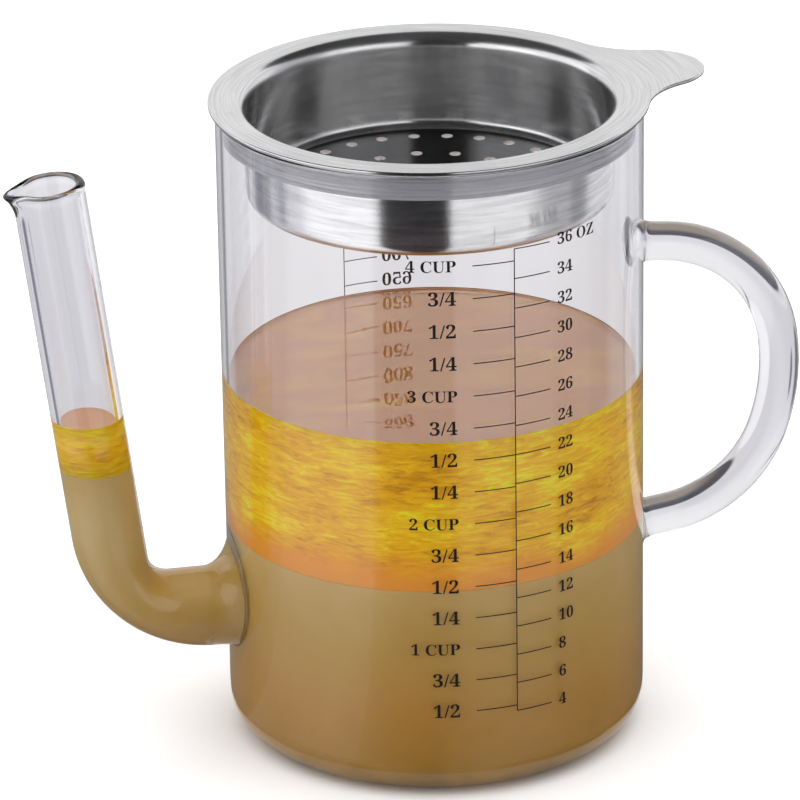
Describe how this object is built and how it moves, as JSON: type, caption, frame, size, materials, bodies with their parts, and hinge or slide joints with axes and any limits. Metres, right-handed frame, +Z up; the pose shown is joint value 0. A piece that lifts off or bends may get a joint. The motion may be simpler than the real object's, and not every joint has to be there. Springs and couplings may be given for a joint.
{
  "type": "gravy fat separator",
  "caption": "Straight glass jug with a low spout tube, a looped rod handle and a lift-out steel strainer with a thumb tab, held in the mouth by a ribbed seal.",
  "frame": {"origin": "centre of the jug's flat base, on the surface it stands on", "axes": "+Z up along the jug's axis, +X towards the handle, so that the spout tube stands at -X"},
  "size_m": [0.1941, 0.1052, 0.1612],
  "materials": {
    "clear_glass": "clear drawn borosilicate glass with flame-polished edges and printed scale marks",
    "clear_silicone": "cloudy translucent silicone rubber, smooth",
    "satin_steel": "spun stainless steel, satin, fine concentric brushing on the flange",
    "punched_steel": "stainless sheet, satin, with punched holes"
  },
  "bodies": {
    "jug": {"jug_body": "clear_glass", "spout_tube": "clear_glass", "handle_rod": "clear_glass"},
    "seal": {"seal_ring": "clear_silicone"},
    "strainer": {"strainer_pan": "satin_steel", "strainer_floor": "punched_steel"}
  },
  "joints": [
    {"name": "strainer_lift", "type": "slide", "parent": "jug", "child": "seal", "axis": [0, 0, 1], "range_m": [0, 0.06]},
    {"name": "strainer_turn", "type": "hinge", "parent": "seal", "child": "strainer", "pos_m": [0, 0, 0.16], "axis": [0, 0, 1], "continuous": true}
  ]
}
